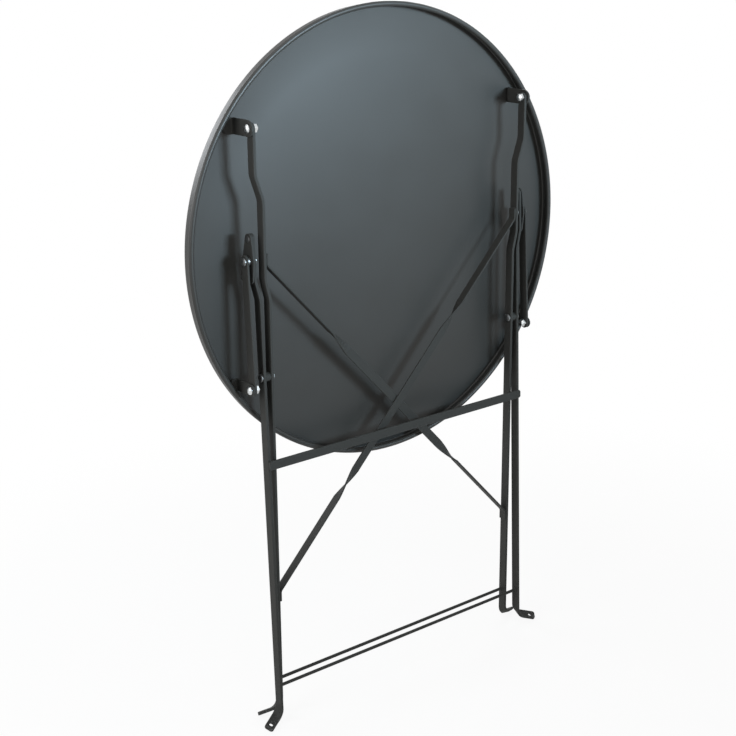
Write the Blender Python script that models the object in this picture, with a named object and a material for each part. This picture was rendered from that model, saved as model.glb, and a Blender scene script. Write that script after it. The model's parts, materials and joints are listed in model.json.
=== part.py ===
"""Folding bistro table with a round pressed-steel top, folded flat and standing on its feet.

Sizes are written in millimetres and degrees; the meshes are in metres, +Z up. The underside of the
folded top faces -Y. The back legs hang from hinge bolts near the top's upper edge, the front legs
cross them at the scissor rivets, and on each side a stay joins the knee plate on the front leg's
head to a lower bracket on the top, so that the three fold together.
"""
import math

import bmesh
import bpy
from mathutils import Matrix, Vector

MM = 0.001

# Tabletop: a pressed disc with a skirt and a rolled bead
TOP_DIAMETER = 600.0
TOP_SHEET = 1.0
RIM_DEPTH = 17.2
RIM_CORNER = 3.0
RIM_BEAD = 7.0
RIM_STEP = 1.4

# Folding linkage, measured between pivot axes
HINGE_OFFSET = 162.7
HINGE_STANDOFF = 36.6
STAY_DROP = 323.5
STAY_SETBACK = 2.3
SCISSOR_DROP = 312.0
LEG_REACH = 481.0
OPEN_SPLAY = 31.6
FOLDED_SPLAY = 2.2
FOLDED_TILT = 1.05
STANCE_LEAN = 2.8

# Flat bar of the legs
BAR_WIDTH = 13.0
BAR_THICK = 4.0
EDGE_BREAK = 0.6
CROSS_GAP = 7.4
HIP_STEP = 6.0
HIP_STEP_DROP = 187.0
HIP_STEP_RUN = 25.0
HEAD_STEP = 10.6
HEAD_STEP_DROP = 56.0
HEAD_STEP_RUN = 32.0
STEP_RADIUS = 26.0

# Feet, bent square outwards so that they lie level when the table is open
FOOT_RADIUS = 8.0
FOOT_LENGTH = 20.0
FOOT_CORNER = 3.0
FOOT_HOLE = 6.0
FOOT_HOLE_INSET = 8.0

# Braces, crossbar and foot rods
BRACE_WIDTH = 12.0
BRACE_THICK = 2.5
BRACE_ABOVE_HIP = 19.0
BRACE_FOOT_RISE = 183.0
BRACE_TAB = 14.0
BRACE_BEND = 5.0
TWIST_INSET = 140.0
TWIST_RUN = 44.0
CROSSBAR_DROP = 115.0
CROSSBAR_WIDTH = 12.0
CROSSBAR_THICK = 3.0
CROSSBAR_CORNER = 3.0
ROD_DIAMETER = 4.5
FOOT_ROD_RISE = 53.4

# Brackets under the top
BRACKET_THICK = 2.5
BRACKET_BEND = 3.0
HINGE_TAB = 13.0
HINGE_TAB_WIDTH = 20.0
HINGE_TAB_CORNER = 8.0
STAY_TAB = 7.2
STAY_TAB_WIDTH = 16.0
STAY_TAB_CORNER = 3.0
RIM_CLEARANCE = 1.5

# Stays and knee plates
STAY_WIDTH = 14.0
STAY_THICK = 3.0
STAY_SPACE = 4.3
STAY_END = 8.0
KNEE_PLATE = 2.0
KNEE_BOSS = 10.0
RIVET_BOSS = 7.0
UPPER_RIVET_RISE = 27.0
LOWER_RIVET_DROP = 22.3
LOWER_RIVET_SETBACK = 14.4

# Bolts and rivets
BOLT_DIAMETER = 6.0
BOLT_HEAD = 11.0
BOLT_HEAD_HEIGHT = 3.2
NUT_ACROSS = 10.0
NUT_HEIGHT = 6.6
NUT_HEX = 3.8
NUT_CAP = 9.4
PIN_DIAMETER = 5.0
PIN_HEAD = 8.0
PIN_HEAD_HEIGHT = 1.1
RIVET_HEAD = 11.0
RIVET_HEAD_HEIGHT = 2.4
HOLE_PLAY = 0.6
SEAT_GAP = 0.3

TOP_SEGMENTS = 96
BEAD_STEPS = 10
FOOT_STEPS = 5
ROUND_SEGMENTS = 16
NUT_SEGMENTS = 12
AXIS_X, AXIS_Y, AXIS_Z = Vector((1, 0, 0)), Vector((0, 1, 0)), Vector((0, 0, 1))
SIDES = (("left", -1), ("right", 1))


# Places worked out from the sizes above
HINGE_HEIGHT = SCISSOR_DROP + LEG_REACH
FLAT_RADIUS = TOP_DIAMETER / 2 - RIM_STEP - RIM_CORNER


def rim_reach(offset, width, corner):
    """How far from the middle line a bracket's tab may reach at this distance from the disc's centre."""
    cut = corner * (1 - math.sqrt(0.5))
    edge = abs(offset) + width / 2 - cut
    return math.sqrt((FLAT_RADIUS - RIM_CLEARANCE) ** 2 - edge ** 2) + cut


def layers():
    """The pieces of one side lie in layers; each value is a layer's distance from the table's middle line."""
    head = HIP_STEP + HEAD_STEP
    hinge_bracket = head + BAR_THICK + SEAT_GAP
    front = BAR_THICK + CROSS_GAP
    knee = front + HIP_STEP
    plate = knee + BAR_THICK + SEAT_GAP
    stay = plate + KNEE_PLATE + STAY_SPACE
    stay_bracket = stay + STAY_THICK + SEAT_GAP
    hinge_tab = rim_reach(HINGE_OFFSET, HINGE_TAB_WIDTH, HINGE_TAB_CORNER) - HINGE_TAB
    stay_tab = rim_reach(STAY_DROP - HINGE_OFFSET, STAY_TAB_WIDTH, STAY_TAB_CORNER) - STAY_TAB
    inside = min(hinge_tab - hinge_bracket, stay_tab - stay_bracket) - BRACKET_THICK
    offsets = {"back": 0.0, "hip": HIP_STEP, "head": head, "hinge_bracket": hinge_bracket, "front": front,
               "knee": knee, "plate": plate, "stay": stay, "stay_bracket": stay_bracket}
    return {name: inside + offset for name, offset in offsets.items()}


LAYER = layers()


def turned(y, z, degrees):
    """A point of the side view turned about +X."""
    c, s = math.cos(math.radians(degrees)), math.sin(math.radians(degrees))
    return Vector((y * c - z * s, y * s + z * c))


def solve_linkage():
    """Height of the knee above the scissor, and the stay, that close the linkage both folded and open.

    In the side view the back legs are upright, with the hinge axis at (0, 0). The top turns from its folded
    tilt until it is level, and the front legs turn from the folded splay to twice the open one.
    """
    scissor = Vector((0, -SCISSOR_DROP))
    near = scissor - turned(STAY_SETBACK, -STAY_DROP, -FOLDED_TILT)
    far = scissor - turned(STAY_SETBACK, -STAY_DROP, 90 - OPEN_SPLAY)
    folded = turned(0, 1, -FOLDED_SPLAY)
    opened = turned(0, 1, -2 * OPEN_SPLAY)
    rise = (near.length_squared - far.length_squared) / (2 * (opened.dot(far) - folded.dot(near)))
    return rise, near + rise * folded


KNEE_RISE, STAY_VECTOR = solve_linkage()
STAY_PIVOT = (STAY_SETBACK, -STAY_DROP)
KNEE = (0.0, KNEE_RISE)
UPPER_RIVET = (0.0, KNEE_RISE + UPPER_RIVET_RISE)
LOWER_RIVET = (LOWER_RIVET_SETBACK, KNEE_RISE - LOWER_RIVET_DROP)


# Scene, materials and pivots
def clear_scene():
    for old in list(bpy.data.objects):
        bpy.data.objects.remove(old, do_unlink=True)


def linear(hex_colour):
    """An sRGB hex colour as linear RGBA."""
    values = [int(hex_colour[i:i + 2], 16) / 255 for i in (1, 3, 5)]
    return [v / 12.92 if v <= 0.04045 else ((v + 0.055) / 1.055) ** 2.4 for v in values] + [1.0]


def material(name, hex_colour, metallic, roughness):
    made = bpy.data.materials.new(name)
    made.use_nodes = True
    shader = made.node_tree.nodes["Principled BSDF"]
    shader.inputs["Base Color"].default_value = linear(hex_colour)
    shader.inputs["Metallic"].default_value = metallic
    shader.inputs["Roughness"].default_value = roughness
    made.diffuse_color = linear(hex_colour)
    return made


def pivot(name, parent, x, y, z, turn=0.0):
    """An empty on a pivot axis, which carries the pieces that turn about it."""
    empty = bpy.data.objects.new(name, None)
    bpy.context.collection.objects.link(empty)
    empty.parent = parent
    empty.location = Vector((x, y, z)) * MM
    empty.rotation_euler.x = math.radians(turn)
    return empty


def add_piece(name, bm, coat, parent):
    """Turns a bmesh in millimetres into a named object on its pivot."""
    bmesh.ops.remove_doubles(bm, verts=bm.verts, dist=0.001)
    bmesh.ops.recalc_face_normals(bm, faces=bm.faces)
    bmesh.ops.scale(bm, vec=(MM, MM, MM), verts=bm.verts)
    mesh = bpy.data.meshes.new(name)
    bm.to_mesh(mesh)
    bm.free()
    mesh.materials.append(coat)
    mesh.shade_smooth()
    mesh.set_sharp_from_angle(angle=math.radians(35))
    piece = bpy.data.objects.new(name, mesh)
    bpy.context.collection.objects.link(piece)
    piece.parent = parent
    return piece


# Shapes
def skin(bm, rings, closed=False):
    """Faces between rings of equal count, capped at both ends unless the rings close on themselves."""
    loops = [[bm.verts.new(p) for p in ring] for ring in rings]
    pairs = list(zip(loops, loops[1:])) + ([(loops[-1], loops[0])] if closed else [])
    for a, b in pairs:
        for i in range(len(a)):
            j = (i + 1) % len(a)
            bm.faces.new((a[i], a[j], b[j], b[i]))
    if not closed:
        bm.faces.new(loops[0])
        bm.faces.new(loops[-1])


def section_ring(centre, wide, thick, half_width, half_thick):
    """The eight corners of a flat bar's section with broken edges."""
    cut = min(EDGE_BREAK, 0.4 * half_width, 0.4 * half_thick)
    hw, ht = half_width, half_thick
    corners = ((hw - cut, ht), (hw, ht - cut), (hw, cut - ht), (hw - cut, -ht),
               (cut - hw, -ht), (-hw, cut - ht), (-hw, ht - cut), (cut - hw, ht))
    return [centre + wide * w + thick * t for w, t in corners]


def bar(sections):
    """A flat bar skinned over sections of (centre, wide, thick, half width, half thickness)."""
    bm = bmesh.new()
    skin(bm, [section_ring(*section) for section in sections])
    return bm


def bent_path(corners, radii, steps=5):
    """Points and directions along a flat path with its inner corners rounded."""
    corners = [Vector(c) for c in corners]
    path = [(corners[0], (corners[1] - corners[0]).normalized())]
    for before, corner, after, radius in zip(corners, corners[1:], corners[2:], radii):
        d0, d1 = (corner - before).normalized(), (after - corner).normalized()
        turn = d0.angle_signed(d1) * -1
        start = corner - d0 * radius * math.tan(abs(turn) / 2)
        side = Vector((-d0.y, d0.x)) * math.copysign(1, turn)
        centre = start + side * radius
        for k in range(steps + 1):
            spin = Matrix.Rotation(turn * k / steps, 2)
            path.append((centre + spin @ (start - centre), spin @ d0))
    path.append((corners[-1], (corners[-1] - corners[-2]).normalized()))
    return path


def end_stations(point, direction, half_width, radius):
    """Stations that round the two corners of a bar's end, from the tip inwards."""
    stations = []
    for degrees in (15, 40, 65, 90):
        a = math.radians(degrees)
        stations.append((point + direction * radius * (1 - math.cos(a)), direction,
                         half_width - radius * (1 - math.sin(a))))
    return stations


def strip(path, across, place, half_width, thickness, first_radius, last_radius=None):
    """Sections of a flat strip that follows a flat path, with rounded ends.

    place turns a point of the path's plane into space, and across is the direction of the strip's width.
    Without a last radius the strip is left open before its last point, for another shape to go on from there.
    """
    (p0, d0), (p1, d1) = path[0], path[-1]
    stations = end_stations(p0, d0, half_width, first_radius)
    stations += [(p, d, half_width) for p, d in path[1:-1]]
    if last_radius is not None:
        tail = end_stations(p1, -d1, half_width, last_radius)
        stations += [(p, -d, hw) for p, d, hw in reversed(tail)]
    origin = place(Vector((0, 0)))
    return [(place(p), across, place(Vector((-d.y, d.x))) - origin, hw, thickness / 2)
            for p, d, hw in stations]


def revolve(profile, origin, axis, segments, closed=False):
    """Turns a profile of (radius, height) about an axis; radius 0 closes the shape on the axis."""
    bm = bmesh.new()
    across = axis.orthogonal().normalized()
    square = axis.cross(across)
    turns = [2 * math.pi * k / segments for k in range(segments)]
    spokes = [across * math.cos(t) + square * math.sin(t) for t in turns]
    rings = []
    for r, h in profile:
        on_axis = origin + axis * h
        rings.append([bm.verts.new(on_axis + s * r) for s in spokes] if r else bm.verts.new(on_axis))
    pairs = list(zip(rings, rings[1:])) + ([(rings[-1], rings[0])] if closed else [])
    for a, b in pairs:
        for i in range(segments):
            j = (i + 1) % segments
            corners = [v for v in ((a[i], a[j]) if isinstance(a, list) else (a,))]
            corners += [v for v in ((b[j], b[i]) if isinstance(b, list) else (b,))]
            bm.faces.new(corners)
    return bm


def dome(radius, height, seat, upwards=1):
    """Profile of a domed head from its rim to its crown, with a low straight edge."""
    edge = 0.3 * height
    steps = 3 if height > 1.5 else 2
    points = [(radius, seat)]
    for k in range(steps):
        a = math.radians(90 * k / steps)
        points.append((radius * math.cos(a), seat + upwards * (edge + (height - edge) * math.sin(a))))
    return points + [(0, seat + upwards * height)]


def drill(piece, holes):
    """Cuts round holes of (centre, axis, diameter, length) in one piece with a hidden cutter."""
    bm = bmesh.new()
    for centre, axis, diameter, length in holes:
        turn = AXIS_Z.rotation_difference(axis).to_matrix().to_4x4()
        bmesh.ops.create_cone(bm, cap_ends=True, segments=ROUND_SEGMENTS, radius1=diameter / 2 * MM,
                              radius2=diameter / 2 * MM, depth=length * MM,
                              matrix=Matrix.Translation(Vector(centre) * MM) @ turn)
    mesh = bpy.data.meshes.new(piece.name + "_holes")
    bm.to_mesh(mesh)
    bm.free()
    cutter = bpy.data.objects.new(piece.name + "_holes", mesh)
    bpy.context.collection.objects.link(cutter)
    cutter.parent = piece.parent
    cutter.hide_render = True
    cutter.display_type = "WIRE"
    cut = piece.modifiers.new("holes", "BOOLEAN")
    cut.operation = "DIFFERENCE"
    cut.solver = "EXACT"
    cut.object = cutter


# Tabletop and its brackets, placed from the hinge axis
def add_tabletop(coat, parent):
    """The pressed disc, and below its rounded edge the skirt with its rolled bead."""
    radius, bead = TOP_DIAMETER / 2, RIM_BEAD / 2
    skirt = radius - RIM_STEP
    inner = skirt - TOP_SHEET
    centre = Vector((0, HINGE_STANDOFF + TOP_SHEET, -HINGE_OFFSET))

    def edge(outside, corner, height, degrees):
        """An arc of the rounded edge, from the flat at 0 degrees to the skirt at 90."""
        arc = [math.radians(d) for d in degrees]
        return [(outside - corner * (1 - math.sin(a)), height + corner * (1 - math.cos(a))) for a in arc]
    disc = [(0, 0)] + edge(skirt, RIM_CORNER, 0, (0, 30, 60, 90))
    disc += edge(inner, RIM_CORNER - TOP_SHEET, TOP_SHEET, (90, 45, 0)) + [(0, TOP_SHEET)]
    add_piece("tabletop_panel", revolve(disc, centre, -AXIS_Y, TOP_SEGMENTS), coat, parent)

    first = math.acos((bead - RIM_STEP) / bead)
    last = 2 * math.pi - math.acos((bead - RIM_STEP - TOP_SHEET) / bead)
    rim = [(skirt, RIM_CORNER + SEAT_GAP)]
    for k in range(BEAD_STEPS + 1):
        a = -first + (last + first) * k / BEAD_STEPS
        rim.append((radius - bead + bead * math.cos(a), RIM_DEPTH - bead + bead * math.sin(a)))
    rim.append((inner, RIM_CORNER + SEAT_GAP))
    add_piece("tabletop_rim", revolve(rim, centre, -AXIS_Y, TOP_SEGMENTS, closed=True), coat, parent)


def add_bracket(name, sign, inside, tab, width, corner, pivot_y, pivot_z, coat, parent):
    """A bent angle: a tab under the top, turned outwards, and a plate with a round end on the pivot."""
    middle = inside + BRACKET_THICK / 2
    tab_y = HINGE_STANDOFF - SEAT_GAP - BRACKET_THICK / 2
    path = bent_path([(inside + BRACKET_THICK + tab, tab_y), (middle, tab_y), (middle, pivot_y - width / 2)],
                     [BRACKET_BEND + BRACKET_THICK / 2])
    sections = strip(path, AXIS_Z, lambda p: Vector((sign * p.x, p.y, pivot_z)), width / 2, BRACKET_THICK,
                     corner, width / 2)
    bracket = add_piece(name, bar(sections), coat, parent)
    hole = (sign * middle, pivot_y, pivot_z)
    drill(bracket, [(hole, AXIS_X, BOLT_DIAMETER + HOLE_PLAY, 4 * BRACKET_THICK)])


def add_bolt(joint, side, sign, nut_seat, head_seat, y, z, coat, parent):
    """A domed bolt along X with its head outside, and the cap nut on its inner end."""
    axis = Vector((0, y, z))
    tip, shank = nut_seat - NUT_HEX, BOLT_DIAMETER / 2
    profile = [(0, tip), (shank, tip), (shank, head_seat)] + dome(BOLT_HEAD / 2, BOLT_HEAD_HEIGHT, head_seat)
    add_piece(joint + "_bolt_" + side, revolve(profile, axis, AXIS_X * sign, ROUND_SEGMENTS), coat, parent)

    # The cap nut: a hexagon that runs into a dome, with a blind hole for the bolt
    def ring(x, radius, hexagon):
        points = []
        for k in range(NUT_SEGMENTS):
            a = 2 * math.pi * k / NUT_SEGMENTS
            flat = math.cos(a % (math.pi / 3) - math.pi / 6) if hexagon else 1.0
            points.append(axis + Vector((sign * x, radius / flat * math.cos(a), radius / flat * math.sin(a))))
        return points
    half = NUT_ACROSS / 2
    rings = [ring(nut_seat, half, True), ring(tip, half, True)]
    for degrees in (5, 35, 60, 80):
        a = math.radians(degrees)
        rings.append(ring(tip - (NUT_HEIGHT - NUT_HEX) * math.sin(a), NUT_CAP / 2 * math.cos(a), False))
    bm = bmesh.new()
    skin(bm, rings)
    nut = add_piece(joint + "_nut_" + side, bm, coat, parent)
    depth = NUT_HEX + SEAT_GAP
    drill(nut, [((sign * nut_seat, y, z), AXIS_X, BOLT_DIAMETER + HOLE_PLAY, 2 * depth)])


def add_rivet(name, sign, inner_seat, outer_seat, y, z, coat, parent, shank=BOLT_DIAMETER, head=RIVET_HEAD,
              inner_height=RIVET_HEAD_HEIGHT, outer_height=RIVET_HEAD_HEIGHT):
    """A rivet along X between two seats, with a domed head outside each."""
    profile = list(reversed(dome(head / 2, inner_height, inner_seat, -1)))
    profile += [(shank / 2, inner_seat), (shank / 2, outer_seat)] + dome(head / 2, outer_height, outer_seat)
    add_piece(name, revolve(profile, Vector((0, y, z)), AXIS_X * sign, ROUND_SEGMENTS), coat, parent)


# Legs
def foot_sections(sign, x, z, slant):
    """Sections of a foot, bent out along a line that slants across the leg's face by the open splay.

    The bend starts at x, z on the leg's middle line. The foot heads outwards and, where slant is 1, back, or
    where it is -1, forwards. Also gives the middle of the foot's hole and its axis.
    """
    splay = math.radians(OPEN_SPLAY)
    out = AXIS_X * sign
    along = Vector((0, math.cos(splay), -slant * math.sin(splay)))
    down = Vector((0, -slant * math.sin(splay), -math.cos(splay)))
    radius = FOOT_RADIUS + BAR_THICK / 2
    start = Vector((sign * x, 0, z))
    sections = []
    for k in range(FOOT_STEPS + 1):
        a = math.pi / 2 * k / FOOT_STEPS
        centre = start + down * radius * math.sin(a) + out * radius * (1 - math.cos(a))
        centre += along * slant * math.tan(splay) * radius * a
        upwards = out * math.cos(a) - down * math.sin(a)
        sections.append((centre, along, upwards, BAR_WIDTH / 2 / math.cos(splay), BAR_THICK / 2))
    heading = out * math.cos(splay) + along * slant * math.sin(splay)
    square = along * math.cos(splay) - out * slant * math.sin(splay)
    tip = centre + heading * FOOT_LENGTH
    for point, _, half_width in reversed(end_stations(tip, -heading, BAR_WIDTH / 2, FOOT_CORNER)):
        sections.append((point, square, -down, half_width, BAR_THICK / 2))
    return sections, tip - heading * FOOT_HOLE_INSET, down


def foot_depth(slant, lean):
    """How far a foot reaches below the start of its bend when its leg leans by this angle about +X."""
    sections, _, _ = foot_sections(1, 0, 0, slant)
    return -min(turned(p.y, p.z, lean).y for section in sections for p in section_ring(*section))


BACK_FOOT_START = foot_depth(1, 0)


def front_foot_start():
    """Where a front foot's bend starts, so that it stands on the same floor as the back foot."""
    lean, front_lean = STANCE_LEAN, STANCE_LEAN - FOLDED_SPLAY
    floor = turned(0, BACK_FOOT_START - LEG_REACH, lean).y - foot_depth(1, lean)
    return (floor + foot_depth(-1, front_lean)) / math.cos(math.radians(front_lean))


def add_leg(name, sign, corners, slant, holes, coat, parent):
    """A leg of flat bar, from its round head down a stepped path to the foot; holes are (x, z, diameter)."""
    path = bent_path(corners, [STEP_RADIUS] * (len(corners) - 2))
    sections = strip(path, AXIS_Y, lambda p: Vector((sign * p.x, 0, p.y)), BAR_WIDTH / 2, BAR_THICK,
                     BAR_WIDTH / 2)
    foot, hole, square = foot_sections(sign, *corners[-1], slant)
    leg = add_piece(name, bar(sections + foot), coat, parent)
    drill(leg, [((sign * x, 0, z), AXIS_X, diameter + HOLE_PLAY, 3 * BAR_THICK) for x, z, diameter in holes]
          + [(hole, square, FOOT_HOLE, 3 * BAR_THICK)])


def add_back_leg(side, sign, coat, parent):
    """A leg that steps inwards below its head and again at the hip, to pass inside the front leg."""
    half = BAR_THICK / 2
    low, hip, head = LAYER["back"] + half, LAYER["hip"] + half, LAYER["head"] + half
    corners = [(head, HINGE_HEIGHT + BAR_WIDTH / 2),
               (head, HINGE_HEIGHT - HEAD_STEP_DROP),
               (hip, HINGE_HEIGHT - HEAD_STEP_DROP - HEAD_STEP_RUN),
               (hip, HINGE_HEIGHT - HIP_STEP_DROP),
               (low, HINGE_HEIGHT - HIP_STEP_DROP - HIP_STEP_RUN),
               (low, BACK_FOOT_START)]
    holes = [(head, HINGE_HEIGHT, BOLT_DIAMETER), (low, LEG_REACH, BOLT_DIAMETER)]
    add_leg("back_leg_" + side, sign, corners, 1, holes, coat, parent)


def add_front_leg(side, sign, coat, parent):
    """A leg placed from the scissor rivet, which steps inwards at the hip as the back leg does."""
    low, knee = LAYER["front"] + BAR_THICK / 2, LAYER["knee"] + BAR_THICK / 2
    step = SCISSOR_DROP - HIP_STEP_DROP
    corners = [(knee, UPPER_RIVET[1] + BAR_WIDTH / 2), (knee, step), (low, step - HIP_STEP_RUN),
               (low, front_foot_start())]
    holes = [(low, 0, BOLT_DIAMETER), (knee, KNEE_RISE, BOLT_DIAMETER), (knee, UPPER_RIVET[1], PIN_DIAMETER)]
    add_leg("front_leg_" + side, sign, corners, -1, holes, coat, parent)


def add_scissor(side, sign, spacer_coat, rivet_coat, parent):
    """The rivet through both legs and the spacer that keeps them apart."""
    inner, outer = LAYER["back"] + BAR_THICK + SEAT_GAP, LAYER["front"] - SEAT_GAP
    bore, outside = (BOLT_DIAMETER + HOLE_PLAY) / 2, BAR_WIDTH / 2 - EDGE_BREAK
    profile = [(bore, inner), (outside, inner), (outside, outer), (bore, outer)]
    ring = revolve(profile, Vector((0, 0, LEG_REACH)), AXIS_X * sign, ROUND_SEGMENTS, closed=True)
    add_piece("scissor_spacer_" + side, ring, spacer_coat, parent)
    add_rivet("scissor_rivet_" + side, sign, LAYER["back"] - SEAT_GAP, LAYER["front"] + BAR_THICK + SEAT_GAP,
              0, LEG_REACH, rivet_coat, parent)


# Braces, crossbar and rods
def add_brace(name, sign, sway, coat, parent):
    """A twisted flat bar from the hip of one back leg to the foot of the other.

    Its ends stand edge on and are bent into tabs on the legs' inner faces. Between the twists it lies flat,
    sway to the front or back of the frame's middle so that the two braces pass each other.
    """
    seat = SEAT_GAP + BRACE_THICK / 2
    top = Vector((sign * (LAYER["hip"] - seat), HINGE_HEIGHT - HIP_STEP_DROP + BRACE_ABOVE_HIP))
    foot = Vector((-sign * (LAYER["back"] - seat), BRACE_FOOT_RISE))
    tab = Vector((0, BRACE_TAB))
    path = bent_path([top + tab, top, foot, foot - tab], [BRACE_BEND + BRACE_THICK / 2] * 2)
    half = len(path) // 2
    run = path[half][0] - path[half - 1][0]
    along = run.normalized()
    flat = Vector((-along.y, 0, along.x))
    hw, ht = BRACE_WIDTH / 2, BRACE_THICK / 2

    def edge_on(stations):
        return [(Vector((p.x, 0, p.y)), AXIS_Y, Vector((-d.y, 0, d.x)), hw, ht) for p, d in stations]

    def twisted(distance, share):
        turn = math.radians(90 * share)
        p = path[half - 1][0] + along * distance
        wide = AXIS_Y * math.cos(turn) + flat * math.sin(turn)
        thick = flat * math.cos(turn) - AXIS_Y * math.sin(turn)
        return Vector((p.x, sway * math.sin(turn), p.y)), wide, thick, hw, ht
    steps = [k / 8 for k in range(9)]
    sections = edge_on(path[:half])
    sections += [twisted(TWIST_INSET + TWIST_RUN * s, s) for s in steps]
    sections += [twisted(run.length - TWIST_INSET - TWIST_RUN * s, s) for s in reversed(steps)]
    sections += edge_on(path[half:])
    add_piece(name, bar(sections), coat, parent)


def add_crossbar(coat, parent):
    reach = LAYER["front"] + BAR_THICK
    y = -BAR_WIDTH / 2 - SEAT_GAP - CROSSBAR_THICK / 2
    path = [(Vector((-reach, 0)), Vector((1, 0))), (Vector((reach, 0)), Vector((1, 0)))]
    sections = strip(path, AXIS_Z, lambda p: Vector((p.x, y + p.y, -CROSSBAR_DROP)), CROSSBAR_WIDTH / 2,
                     CROSSBAR_THICK, CROSSBAR_CORNER, CROSSBAR_CORNER)
    add_piece("front_crossbar", bar(sections), coat, parent)


def add_rod(name, reach, z, coat, parent):
    half, radius = reach - SEAT_GAP, ROD_DIAMETER / 2
    profile = [(0, -half), (radius, -half), (radius, half), (0, half)]
    add_piece(name, revolve(profile, Vector((0, 0, z)), AXIS_X, 16), coat, parent)


# Knees and stays
def add_knee(side, sign, coat, pin_coat, parent):
    """The plate on a front leg's head, with its rivets and the stud that the stay turns on."""
    bar_inner, inner, outer = LAYER["knee"], LAYER["plate"], LAYER["plate"] + KNEE_PLATE
    bosses = ((UPPER_RIVET, RIVET_BOSS), (KNEE, KNEE_BOSS), (LOWER_RIVET, RIVET_BOSS),
              ((0.0, LOWER_RIVET[1]), BAR_WIDTH / 2))
    bm = bmesh.new()
    for (y, z), radius in bosses:
        for k in range(ROUND_SEGMENTS):
            a = 2 * math.pi * k / ROUND_SEGMENTS
            for x in (inner, outer):
                bm.verts.new((sign * x, y + radius * math.cos(a), z + radius * math.sin(a)))
    bmesh.ops.convex_hull(bm, input=bm.verts)
    bmesh.ops.delete(bm, geom=[v for v in bm.verts if not v.link_faces], context="VERTS")
    plate = add_piece("knee_plate_" + side, bm, coat, parent)
    middle = sign * (inner + outer) / 2
    holes = ((UPPER_RIVET, PIN_DIAMETER), (KNEE, BOLT_DIAMETER), (LOWER_RIVET, PIN_DIAMETER))
    drill(plate, [((middle, *p), AXIS_X, diameter + HOLE_PLAY, 4 * KNEE_PLATE) for p, diameter in holes])

    head = outer + SEAT_GAP
    low_head = PIN_HEAD_HEIGHT - SEAT_GAP
    add_rivet("knee_upper_rivet_" + side, sign, bar_inner - SEAT_GAP, head, *UPPER_RIVET, pin_coat, parent,
              PIN_DIAMETER, PIN_HEAD, PIN_HEAD_HEIGHT, low_head)
    add_rivet("knee_lower_rivet_" + side, sign, inner - SEAT_GAP, head, *LOWER_RIVET, pin_coat, parent,
              PIN_DIAMETER, PIN_HEAD, PIN_HEAD_HEIGHT, low_head)
    shank, flange = BOLT_DIAMETER / 2, RIVET_HEAD / 2
    seat, face = bar_inner - SEAT_GAP, LAYER["stay"] - SEAT_GAP
    profile = list(reversed(dome(flange, RIVET_HEAD_HEIGHT, seat, -1)))
    profile += [(shank, seat), (shank, head), (flange, head), (flange, face), (0, face)]
    stud = revolve(profile, Vector((0, *KNEE)), AXIS_X * sign, ROUND_SEGMENTS)
    add_piece("knee_stud_" + side, stud, pin_coat, parent)


def add_stay(side, sign, coat, pin_coat, parent):
    """A flat stay, placed from its lower pivot, with the half of the knee rivet that it carries."""
    length = STAY_VECTOR.length
    middle = LAYER["stay"] + STAY_THICK / 2
    down = Vector((0, -1))
    path = [(Vector((middle, length + STAY_END)), down), (Vector((middle, -STAY_END)), down)]
    sections = strip(path, AXIS_Y, lambda p: Vector((sign * p.x, 0, p.y)), STAY_WIDTH / 2, STAY_THICK,
                     STAY_WIDTH / 2, STAY_WIDTH / 2)
    stay = add_piece("stay_" + side, bar(sections), coat, parent)
    hole = BOLT_DIAMETER + HOLE_PLAY
    drill(stay, [((sign * middle, 0, z), AXIS_X, hole, 3 * STAY_THICK) for z in (0, length)])
    inner, seat = LAYER["stay"], LAYER["stay"] + STAY_THICK + SEAT_GAP
    shank = BOLT_DIAMETER / 2
    profile = [(0, inner), (shank, inner), (shank, seat)] + dome(RIVET_HEAD / 2, RIVET_HEAD_HEIGHT, seat)
    add_piece("knee_rivet_" + side, revolve(profile, Vector((0, 0, length)), AXIS_X * sign, ROUND_SEGMENTS),
              pin_coat, parent)


def stand_on_origin(stance):
    """Moves the whole table so that it stands on z = 0 with its box centred over the origin."""
    bpy.context.view_layer.update()
    points = [o.matrix_world @ v.co for o in bpy.data.objects if o.type == "MESH" and not o.hide_render
              for v in o.data.vertices]
    ys, zs = [p.y for p in points], [p.z for p in points]
    stance.location.y -= (min(ys) + max(ys)) / 2
    stance.location.z -= min(zs)
    bpy.context.view_layer.update()


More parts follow.
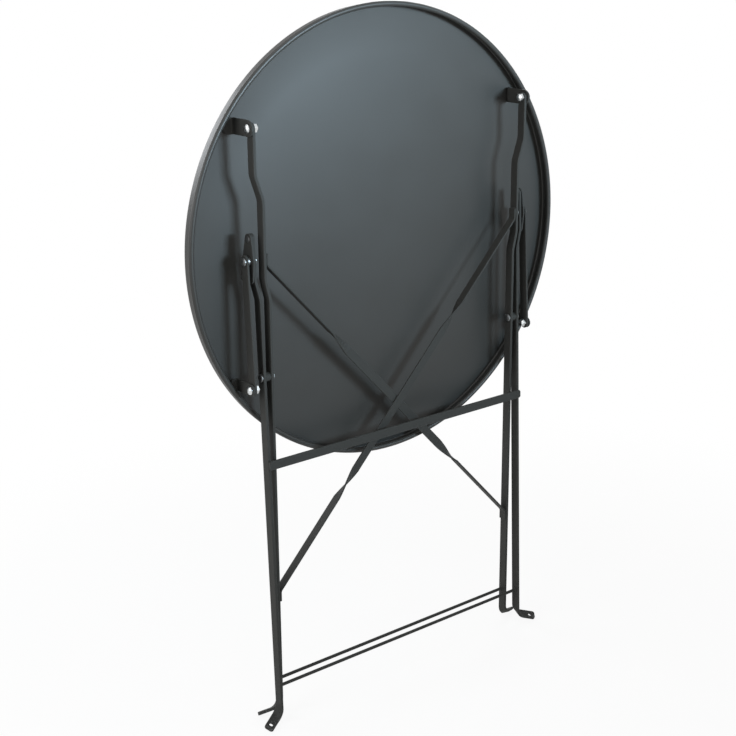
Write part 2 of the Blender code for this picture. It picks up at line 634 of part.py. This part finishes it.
def build():
    clear_scene()
    top_coat = material("anthracite_powder_coat_top", "#4b5053", 0.0, 0.45)
    frame_coat = material("anthracite_powder_coat_frame", "#46494a", 0.0, 0.5)
    zinc = material("zinc_plated_steel", "#c9ccce", 1.0, 0.3)

    stance = pivot("folded_stance", None, 0, 0, 0, STANCE_LEAN)
    hinge = pivot("hinge_axis", stance, 0, 0, HINGE_HEIGHT, -FOLDED_TILT)
    scissor = pivot("scissor_axis", stance, 0, 0, LEG_REACH, -FOLDED_SPLAY)
    stay_turn = FOLDED_TILT - math.degrees(math.atan2(STAY_VECTOR.x, STAY_VECTOR.y))

    add_tabletop(top_coat, hinge)
    add_brace("front_brace", 1, -(BRACE_THICK + SEAT_GAP) / 2, frame_coat, stance)
    add_brace("rear_brace", -1, (BRACE_THICK + SEAT_GAP) / 2, frame_coat, stance)
    add_rod("back_foot_rod", LAYER["back"], FOOT_ROD_RISE, frame_coat, stance)
    add_rod("front_foot_rod", LAYER["front"], FOOT_ROD_RISE - LEG_REACH, frame_coat, scissor)
    add_crossbar(frame_coat, scissor)
    for side, sign in SIDES:
        add_bracket("hinge_bracket_" + side, sign, LAYER["hinge_bracket"], HINGE_TAB, HINGE_TAB_WIDTH,
                    HINGE_TAB_CORNER, 0, 0, frame_coat, hinge)
        add_bracket("stay_bracket_" + side, sign, LAYER["stay_bracket"], STAY_TAB, STAY_TAB_WIDTH,
                    STAY_TAB_CORNER, *STAY_PIVOT, frame_coat, hinge)
        head_seat = BRACKET_THICK + SEAT_GAP
        add_bolt("hinge", side, sign, LAYER["head"] - SEAT_GAP, LAYER["hinge_bracket"] + head_seat,
                 0, 0, zinc, hinge)
        add_bolt("stay", side, sign, LAYER["stay"] - SEAT_GAP, LAYER["stay_bracket"] + head_seat,
                 *STAY_PIVOT, zinc, hinge)
        add_back_leg(side, sign, frame_coat, stance)
        add_scissor(side, sign, frame_coat, zinc, stance)
        add_front_leg(side, sign, frame_coat, scissor)
        add_knee(side, sign, frame_coat, zinc, scissor)
        stay_axis = pivot("stay_axis_" + side, hinge, 0, *STAY_PIVOT, stay_turn)
        add_stay(side, sign, frame_coat, zinc, stay_axis)
    stand_on_origin(stance)


build()
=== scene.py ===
"""Looks of the folded bistro table: powder-coated steel with zinc-plated fasteners, on a pale studio floor.

Sizes of added pieces are in millimetres, and the frame is in metres, +Z up, with the underside of the
folded top facing -Y.
"""
import json
import math

import bmesh
import bpy
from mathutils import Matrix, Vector


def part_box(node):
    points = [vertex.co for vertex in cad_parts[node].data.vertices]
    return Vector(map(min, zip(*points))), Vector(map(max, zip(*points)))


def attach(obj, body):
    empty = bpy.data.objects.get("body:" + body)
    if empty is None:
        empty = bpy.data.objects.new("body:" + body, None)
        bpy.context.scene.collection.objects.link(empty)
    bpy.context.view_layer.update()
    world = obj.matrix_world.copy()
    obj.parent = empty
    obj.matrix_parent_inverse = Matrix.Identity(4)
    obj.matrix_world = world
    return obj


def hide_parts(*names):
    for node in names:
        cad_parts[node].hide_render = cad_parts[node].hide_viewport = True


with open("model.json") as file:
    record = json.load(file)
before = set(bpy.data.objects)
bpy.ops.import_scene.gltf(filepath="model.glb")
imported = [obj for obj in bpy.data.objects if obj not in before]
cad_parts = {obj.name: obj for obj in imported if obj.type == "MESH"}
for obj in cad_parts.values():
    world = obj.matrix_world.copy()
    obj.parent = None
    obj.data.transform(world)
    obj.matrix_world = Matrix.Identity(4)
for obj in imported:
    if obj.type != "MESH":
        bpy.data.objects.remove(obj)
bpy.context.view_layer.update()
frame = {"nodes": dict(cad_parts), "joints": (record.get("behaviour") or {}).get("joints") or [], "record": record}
table_surface = frame["record"]["mounts"][0]

MM = 0.001
SIDES = (("left", -1), ("right", 1))
AXIS_X = Vector((1, 0, 0))

# The view: where the photograph was taken from, in metres and degrees
CAMERA_PLACE = (-1.09393, -1.40903, 0.97572)
CAMERA_TURN = (75.7199, 1.7457, -38.8318)
CAMERA_LENS = 67.404
CAMERA_SENSOR = 36
CAMERA_SHIFT = (-0.05164, -0.07510)

# Pressed top with its rolled rim
SHEET = 1.0
RIM_DEPTH = 17.2
RIM_CORNER = 3.0
RIM_STEP = 1.4
BEAD = 7.0
CURL_GAP = 0.9
FLAT_RINGS = (120, 240)
TOP_SEGMENTS = 288

# The curl, in degrees short of the skirt: where the rolled sheet ends, and where its groove starts
CURL_END = 16
GROOVE_START = 20

# Welds; a ripple's depth and an end's size are shares of the bead's radius
WELD = 3.0
WELD_RIPPLE = 1.6
RIPPLE_DEPTH = 0.12
RIPPLE_STEPS = 6
WELD_END = 0.45
WELD_TAPER = 6
WELD_SIDES = 10
BRACE_WELD = 10.0
ROUND_SEGMENTS = 24

# Brackets, and for each kind the inset from its tab's end and the radius of its spot weld
BRACKET = 2.5
SPOT_WELDS = (("hinge_bracket", 6.0, 2.8), ("stay_bracket", 3.9, 2.2))

# Wear of the powder coat: the radius of a rubbed edge, and how high above the floor it is scuffed
RUBBED_EDGE = 0.5
SCUFF_HEIGHT = 14

# Faces that meet at more than this angle, in degrees, keep a crisp edge
CREASE = 40

# Stage, in metres: the floor shows its shadow near the table and is plain white further out
FLOOR_RADIUS = 9.0
SHADOW_NEAR = 0.35
SHADOW_FAR = 1.2


# Colours and nodes
def linear(hex_colour):
    """An sRGB hex colour as linear RGBA."""
    values = [int(hex_colour[i:i + 2], 16) / 255 for i in (1, 3, 5)]
    return [v / 12.92 if v <= 0.04045 else ((v + 0.055) / 1.055) ** 2.4 for v in values] + [1.0]


def per_metre(size):
    """Texture scale of a pattern whose grains measure this many millimetres."""
    return 1 / (size * MM)


def add_node(tree, kind, inputs=None, **settings):
    """Adds a node with its settings; each input takes a value or is linked from another node's socket."""
    made = tree.nodes.new(kind)
    for name, value in settings.items():
        setattr(made, name, value)
    for name, value in (inputs or {}).items():
        if isinstance(value, bpy.types.NodeSocket):
            tree.links.new(value, made.inputs[name])
        else:
            made.inputs[name].default_value = value
    return made


def new_material(name):
    made = bpy.data.materials.new(name)
    made.use_nodes = True
    made.node_tree.nodes.clear()
    return made, made.node_tree


# Materials
def powder_coat(name, colour, cloud_colour, edge_colour, roughness, gleam, wave_depth):
    """Polyester powder coat, sprayed on steel and baked: a satin skin with a faint orange peel.

    It gives a soft sheen that blurs what it mirrors. The colour is slightly cloudy where the coat is
    thicker, the edges are rubbed paler where it pulled thin, the gloss varies where hands have touched it,
    and near the floor the coat is scuffed.
    gleam scales the mirroring that the coat's IOR gives: 0.5 leaves it as it is, and a matt powder has less.
    wave_depth is how far the sheet under it waves, in millimetres.
    """
    made, tree = new_material(name)
    place = add_node(tree, "ShaderNodeTexCoord").outputs["Object"]
    cloud = add_node(tree, "ShaderNodeTexNoise", {"Vector": place, "Scale": per_metre(70), "Detail": 4.0})
    tint = add_node(tree, "ShaderNodeMix",
                    {0: cloud.outputs["Fac"], 6: linear(colour), 7: linear(cloud_colour)}, data_type="RGBA")

    # Edges: the normal of a rounded edge turns away from the face's own
    face = add_node(tree, "ShaderNodeNewGeometry")
    rounded = add_node(tree, "ShaderNodeBevel", {"Radius": RUBBED_EDGE * MM}, samples=4)
    turn = add_node(tree, "ShaderNodeVectorMath", {0: face.outputs["Normal"], 1: rounded.outputs[0]},
                    operation="DOT_PRODUCT")
    edge = add_node(tree, "ShaderNodeMapRange",
                    {0: turn.outputs["Value"], 1: 0.98, 2: 0.88, 3: 0.0, 4: 1.0})
    rubbed = add_node(tree, "ShaderNodeMix",
                      {0: edge.outputs[0], 6: tint.outputs[2], 7: linear(edge_colour)}, data_type="RGBA")

    # Scuffs: pale specks just above the floor
    height = add_node(tree, "ShaderNodeSeparateXYZ", {0: place})
    low = add_node(tree, "ShaderNodeMapRange",
                   {0: height.outputs["Z"], 1: SCUFF_HEIGHT * MM, 2: 0.0, 3: 0.0, 4: 1.0})
    grit = add_node(tree, "ShaderNodeTexNoise", {"Vector": place, "Scale": per_metre(2.5), "Detail": 3.0})
    specks = add_node(tree, "ShaderNodeMapRange",
                      {0: grit.outputs["Fac"], 1: 0.52, 2: 0.66, 3: 0.0, 4: 0.5})
    scuff = add_node(tree, "ShaderNodeMath", {0: low.outputs[0], 1: specks.outputs[0]},
                     operation="MULTIPLY")
    worn = add_node(tree, "ShaderNodeMix",
                    {0: scuff.outputs[0], 6: rubbed.outputs[2], 7: linear("#8d8f8f")}, data_type="RGBA")

    # Rubbed patches are a little glossier
    rub = add_node(tree, "ShaderNodeTexNoise", {"Vector": place, "Scale": per_metre(45), "Detail": 5.0})
    gloss = add_node(tree, "ShaderNodeMapRange",
                     {0: rub.outputs["Fac"], 1: 0.3, 2: 0.7, 3: roughness - 0.03, 4: roughness + 0.03})

    # Orange peel, drawn at 3 mm where the real one is about 1 mm, so that it shows at all
    peel = add_node(tree, "ShaderNodeTexNoise", {"Vector": place, "Scale": per_metre(3), "Detail": 2.0})
    skin = add_node(tree, "ShaderNodeBump",
                    {"Height": peel.outputs["Fac"], "Strength": 0.25, "Distance": 0.04 * MM})
    wave = add_node(tree, "ShaderNodeTexNoise", {"Vector": place, "Scale": per_metre(160), "Detail": 1.0})
    normal = add_node(tree, "ShaderNodeBump",
                      {"Height": wave.outputs["Fac"], "Strength": 1.0, "Distance": wave_depth * MM,
                       "Normal": skin.outputs[0]})
    shader = add_node(tree, "ShaderNodeBsdfPrincipled",
                      {"Base Color": worn.outputs[2], "Roughness": gloss.outputs[0], "IOR": 1.5,
                       "Specular IOR Level": gleam, "Normal": normal.outputs[0]})
    add_node(tree, "ShaderNodeOutputMaterial", {"Surface": shader.outputs[0]})
    return made


def zinc_plate(name, cool, warm, roughness):
    """Zinc plating on turned steel: a clear metal shine, mottled cool and warm by the passivation."""
    made, tree = new_material(name)
    place = add_node(tree, "ShaderNodeTexCoord").outputs["Object"]
    mottle = add_node(tree, "ShaderNodeTexNoise", {"Vector": place, "Scale": per_metre(3.5), "Detail": 3.0})
    tint = add_node(tree, "ShaderNodeMix", {0: mottle.outputs["Fac"], 6: linear(cool), 7: linear(warm)},
                    data_type="RGBA")
    gloss = add_node(tree, "ShaderNodeMapRange",
                     {0: mottle.outputs["Fac"], 1: 0.3, 2: 0.7, 3: roughness - 0.06, 4: roughness + 0.08})
    grain = add_node(tree, "ShaderNodeTexNoise", {"Vector": place, "Scale": per_metre(0.8), "Detail": 1.0})
    skin = add_node(tree, "ShaderNodeBump",
                    {"Height": grain.outputs["Fac"], "Strength": 0.2, "Distance": 0.02 * MM})
    shader = add_node(tree, "ShaderNodeBsdfPrincipled",
                      {"Base Color": tint.outputs[2], "Metallic": 1.0, "Roughness": gloss.outputs[0],
                       "Normal": skin.outputs[0]})
    add_node(tree, "ShaderNodeOutputMaterial", {"Surface": shader.outputs[0]})
    return made


def seen_directly(tree):
    """1 for what the camera sees straight, mirrored or through glass, 0 for light that falls on things."""
    path = add_node(tree, "ShaderNodeLightPath")
    mirrored = add_node(tree, "ShaderNodeMath",
                        {0: path.outputs["Is Camera Ray"], 1: path.outputs["Is Glossy Ray"]},
                        operation="MAXIMUM")
    seen = add_node(tree, "ShaderNodeMath",
                    {0: mirrored.outputs[0], 1: path.outputs["Is Transmission Ray"]}, operation="MAXIMUM")
    return seen.outputs[0]


def studio_floor():
    """Matt white paper sweep: it keeps a faint shadow round the feet and runs out to plain white."""
    made, tree = new_material("white_paper_sweep")
    place = add_node(tree, "ShaderNodeTexCoord").outputs["Object"]
    reach = add_node(tree, "ShaderNodeVectorMath", {0: place}, operation="LENGTH")
    away = add_node(tree, "ShaderNodeMapRange",
                    {0: reach.outputs["Value"], 1: SHADOW_NEAR, 2: SHADOW_FAR, 3: 0.9, 4: 1.0},
                    interpolation_type="SMOOTHSTEP")
    plain = add_node(tree, "ShaderNodeMath",
                     {0: away.outputs[0], 1: seen_directly(tree)}, operation="MULTIPLY")
    paper = add_node(tree, "ShaderNodeBsdfDiffuse", {"Color": linear("#f2f2f0")})
    white = add_node(tree, "ShaderNodeEmission", {"Color": linear("#ffffff"), "Strength": 1.0})
    mixed = add_node(tree, "ShaderNodeMixShader",
                     {0: plain.outputs[0], 1: paper.outputs[0], 2: white.outputs[0]})
    add_node(tree, "ShaderNodeOutputMaterial", {"Surface": mixed.outputs[0]})
    return made


# Mesh pieces
def add_piece(name, bm, finish, body):
    """A mesh in the frame, which rides on a body."""
    bmesh.ops.recalc_face_normals(bm, faces=bm.faces)
    mesh = bpy.data.meshes.new(name)
    bm.to_mesh(mesh)
    bm.free()
    mesh.materials.append(finish)
    mesh.shade_smooth()
    mesh.set_sharp_from_angle(angle=math.radians(CREASE))
    piece = bpy.data.objects.new(name, mesh)
    bpy.context.scene.collection.objects.link(piece)
    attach(piece, body)
    return piece


def skin_rings(bm, rings, closed):
    """Faces between rings of equal count; closed joins the last to the first, else the ends are capped."""
    loops = [[bm.verts.new(p) for p in ring] for ring in rings]
    pairs = list(zip(loops, loops[1:])) + ([(loops[-1], loops[0])] if closed else [])
    for a, b in pairs:
        for i in range(len(a)):
            j = (i + 1) % len(a)
            bm.faces.new((a[i], a[j], b[j], b[i]))
    if not closed:
        bm.faces.new(loops[0])
        bm.faces.new(loops[-1])


def join_rings(bm, rings):
    """Faces between neighbouring rings of vertices, of which an end may be a single point."""
    for a, b in zip(rings, rings[1:]):
        count = max(len(a), len(b))
        for i in range(count):
            j = (i + 1) % count
            corners = ([a[i], a[j]] if len(a) > 1 else a) + ([b[j], b[i]] if len(b) > 1 else b)
            bm.faces.new(corners)


def arc(centre, radius, start, end, steps):
    """Points of an arc in a profile's plane, with angles in degrees from +r towards the underside."""
    points = []
    for k in range(steps + 1):
        a = math.radians(start + (end - start) * k / steps)
        points.append((centre[0] + radius * math.cos(a), centre[1] + radius * math.sin(a)))
    return points


def pressed_top(finish):
    """One sheet: a flat disc, a rounded edge, a skirt and a bead rolled in until its end meets the skirt.

    The profile is (radius, depth under the upper face).
    """
    centre, up = Vector(table_surface["pos_m"]), Vector(table_surface["axis"]).normalized()
    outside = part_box("tabletop_rim")[1].x / MM
    bead = BEAD / 2
    skirt = outside - RIM_STEP
    inner = skirt - SHEET
    roll = (outside - bead, RIM_DEPTH - bead)
    start = math.degrees(math.acos((bead - RIM_STEP) / bead))
    meet = math.degrees(math.acos((bead - RIM_STEP - SHEET) / bead))
    core = bead - CURL_GAP
    groove = math.degrees(math.acos((bead - RIM_STEP - SHEET) / core))
    corner = (skirt - RIM_CORNER, RIM_CORNER)
    flat = (0,) + FLAT_RINGS
    profile = [(radius, 0) for radius in flat] + arc(corner, RIM_CORNER, -90, 0, 6)
    profile += arc(roll, bead, -start, 360 - meet - CURL_END, 26)
    profile += arc(roll, core, 360 - meet - GROOVE_START, 360 - groove, 3)
    profile += arc(corner, RIM_CORNER - SHEET, 0, -90, 5)
    profile += [(radius, SHEET) for radius in reversed(flat)]
    across = up.cross(AXIS_X).normalized()
    bm = bmesh.new()
    rings = []
    for radius, depth in profile:
        middle = centre - up * depth * MM
        if not radius:
            rings.append([bm.verts.new(middle)])
            continue
        spokes = [2 * math.pi * k / TOP_SEGMENTS for k in range(TOP_SEGMENTS)]
        rings.append([bm.verts.new(middle + (AXIS_X * math.cos(t) + across * math.sin(t)) * radius * MM)
                      for t in spokes])
    join_rings(bm, rings)
    top = add_piece("pressed_top", bm, finish, "tabletop")
    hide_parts("tabletop_panel", "tabletop_rim")


def weld(name, points, finish, body, closed=False):
    """A rippled weld bead along a path of points in metres, with tapered ends unless it is closed."""
    points = [Vector(p) for p in points]
    ends = points + points[:1] if closed else points
    length = sum((b - a).length for a, b in zip(ends, ends[1:])) / MM
    ripples = max(3, round(length / WELD_RIPPLE))
    count = ripples * RIPPLE_STEPS
    rings = []
    for k in range(count if closed else count + 1):
        share = k / count * (len(ends) - 1)
        i = min(int(share), len(ends) - 2)
        along = (ends[i + 1] - ends[i]).normalized()
        side = AXIS_X - along * along.x if abs(along.x) < 0.9 else along.orthogonal()
        side.normalize()
        other = along.cross(side)
        radius = WELD / 2 * (1 + RIPPLE_DEPTH * math.cos(2 * math.pi * k / RIPPLE_STEPS)) * MM
        if not closed:
            radius *= min(1, WELD_END + WELD_TAPER * min(k, count - k) / count)
        here = ends[i].lerp(ends[i + 1], share - i)
        rings.append([here + (side * math.cos(t) + other * math.sin(t)) * radius
                      for t in (2 * math.pi * n / WELD_SIDES for n in range(WELD_SIDES))])
    bm = bmesh.new()
    skin_rings(bm, rings, closed)
    add_piece(name, bm, finish, body)


def spot_weld(name, centre, facing, radius, finish):
    """The round mark of a spot weld on a bracket's tab: a shallow dish inside a low ridge, radius in mm."""
    profile = [(0, 0.05), (0.55, 0.06), (0.8, 0.12), (0.9, 0.22), (1.0, 0.18), (1.1, 0.0)]
    across = facing.cross(AXIS_X).normalized()
    bm = bmesh.new()
    rings = []
    for share, height in profile:
        spokes = [2 * math.pi * k / ROUND_SEGMENTS for k in range(ROUND_SEGMENTS)] if share else [0]
        rings.append([bm.verts.new(centre + facing * height * MM
                                   + (AXIS_X * math.cos(t) + across * math.sin(t)) * share * radius * MM)
                      for t in spokes])
    join_rings(bm, rings)
    add_piece(name, bm, finish, "tabletop")


def add_welds(finish):
    """The welds that hold the rods, the crossbar, the braces and the brackets."""
    hinge, scissor = [Vector(frame["joints"][k]["pos_m"]) for k in (0, 1)]
    up = (hinge - scissor).normalized()
    forwards = AXIS_X.cross(up) * -1
    facing = -Vector(table_surface["axis"]).normalized()
    for rod, body in (("back_foot_rod", "back_frame"), ("front_foot_rod", "front_frame")):
        low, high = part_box(rod)
        middle, radius = (low + high) / 2, (high.z - low.z) / 2
        for side, sign in SIDES:
            turns = [2 * math.pi * k / ROUND_SEGMENTS for k in range(ROUND_SEGMENTS)]
            ring = [Vector((sign * high.x, middle.y + radius * math.cos(t), middle.z + radius * math.sin(t)))
                    for t in turns]
            weld(rod + "_weld_" + side, ring, finish, body, closed=True)
    for side, sign in SIDES:
        low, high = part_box("front_crossbar")
        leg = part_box("front_leg_right")[0].x
        edge = [Vector((sign * leg, high.y, z)) for z in (low.z + WELD * MM, high.z - WELD * MM)]
        weld("crossbar_weld_" + side, edge, finish, "front_frame")
    for brace, sign in (("front_brace", 1), ("rear_brace", -1)):
        low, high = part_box(brace)
        ends = (("top", sign * max(high.x, -low.x), high.z), ("foot", -sign * min(high.x, -low.x), low.z))
        for end, x, z in ends:
            middle = hinge + up * (z - hinge.z) / up.z
            half = forwards * BRACE_WELD / 2 * MM
            edge = [Vector((x, middle.y, z)) + reach for reach in (-half, half)]
            weld(brace + "_weld_" + end, edge, finish, "back_frame")
    for bracket, inset, radius in SPOT_WELDS:
        for side, sign in SIDES:
            low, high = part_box(bracket + "_" + side)
            end = high.x if sign > 0 else -low.x
            seat = Vector((sign * (end - inset * MM), high.y, (low.z + high.z) / 2))
            spot = seat + facing * BRACKET * MM
            spot_weld(bracket + "_spot_weld_" + side, spot, facing, radius, finish)


def dress(finishes, rivet_finish):
    """Puts the finishes on the nodes by their record's slot; rivets, hammered over, are duller than bolts."""
    slots = {part["node"]: part["material_slot"] for part in frame["record"]["subparts"]}
    for name, piece in frame["nodes"].items():
        piece.data.materials.clear()
        riveted = "rivet" in name or "stud" in name
        piece.data.materials.append(rivet_finish if riveted else finishes[slots[name]])


# Stage, light and view
def add_stage():
    bpy.ops.mesh.primitive_circle_add(vertices=96, radius=FLOOR_RADIUS, fill_type="NGON")
    floor = bpy.context.object
    floor.name = "studio_floor"
    floor.data.materials.append(studio_floor())


def add_world():
    """A white surround: full white where it is seen or mirrored, softer where it lights."""
    world = bpy.data.worlds.new("white_surround")
    bpy.context.scene.world = world
    world.use_nodes = True
    tree = world.node_tree
    tree.nodes.clear()
    light = add_node(tree, "ShaderNodeBackground", {"Color": linear("#f4f4f2"), "Strength": 0.16})
    white = add_node(tree, "ShaderNodeBackground", {"Color": linear("#ffffff"), "Strength": 1.0})
    mixed = add_node(tree, "ShaderNodeMixShader",
                     {0: seen_directly(tree), 1: light.outputs[0], 2: white.outputs[0]})
    add_node(tree, "ShaderNodeOutputWorld", {"Surface": mixed.outputs[0]})


def add_softbox(name, place, target, width, height, watts, colour, spread=180):
    """A soft lamp aimed at a target; a grid in front of it narrows its spread, in degrees."""
    lamp = bpy.data.lights.new(name, "AREA")
    lamp.shape = "RECTANGLE"
    lamp.size, lamp.size_y = width, height
    lamp.energy = watts
    lamp.color = linear(colour)[:3]
    lamp.spread = math.radians(spread)
    box = bpy.data.objects.new(name, lamp)
    bpy.context.scene.collection.objects.link(box)
    box.location = place
    box.rotation_euler = (Vector(target) - Vector(place)).to_track_quat("-Z", "Y").to_euler()


def add_camera():
    lens = bpy.data.cameras.new("photo_view")
    lens.sensor_width = CAMERA_SENSOR
    lens.lens = CAMERA_LENS
    lens.shift_x, lens.shift_y = CAMERA_SHIFT
    camera = bpy.data.objects.new("photo_view", lens)
    bpy.context.scene.collection.objects.link(camera)
    camera.location = CAMERA_PLACE
    camera.rotation_euler = [math.radians(a) for a in CAMERA_TURN]
    bpy.context.scene.camera = camera


top_coat = powder_coat("anthracite_powder_coat_top", "#262624", "#2a2a28", "#333331", 0.42, 0.35, 0.12)
frame_coat = powder_coat("anthracite_powder_coat_frame", "#30302e", "#353533", "#434341", 0.65, 0.15, 0.02)
bright_zinc = zinc_plate("bright_zinc_plated_steel", "#c3c9d0", "#dcdcd6", 0.26)
dull_zinc = zinc_plate("dull_zinc_plated_steel", "#6e7275", "#828280", 0.4)
dress({"top_coat": top_coat, "frame_coat": frame_coat, "zinc": bright_zinc}, dull_zinc)
pressed_top(top_coat)
add_welds(frame_coat)

add_stage()
add_world()
add_softbox("window_softbox", (0.62, -2.05, 1.0), (-0.06, 0, 1.04), 0.6, 0.5, 7.6, "#d4eeff", 50)
add_softbox("front_softbox", (-0.8, -2.2, 1.5), (0, 0, 0.6), 0.9, 0.9, 12, "#ffffff")
add_softbox("left_softbox", (-2.3, -0.1, 1.3), (0, 0, 0.7), 2.0, 1.6, 34, "#f8fbff")
add_softbox("overhead_softbox", (-0.3, -0.3, 2.6), (0, 0, 0.5), 1.4, 1.4, 9, "#ffffff")
add_softbox("right_softbox", (2.0, 1.7, 1.6), (0, 0, 0.9), 1.6, 1.4, 10, "#f8fbff", 90)
add_softbox("back_softbox", (-0.9, 2.3, 1.7), (0, 0, 1.0), 1.4, 1.2, 9, "#f6faff", 80)
add_camera()
bpy.context.scene.view_settings.view_transform = "Standard"
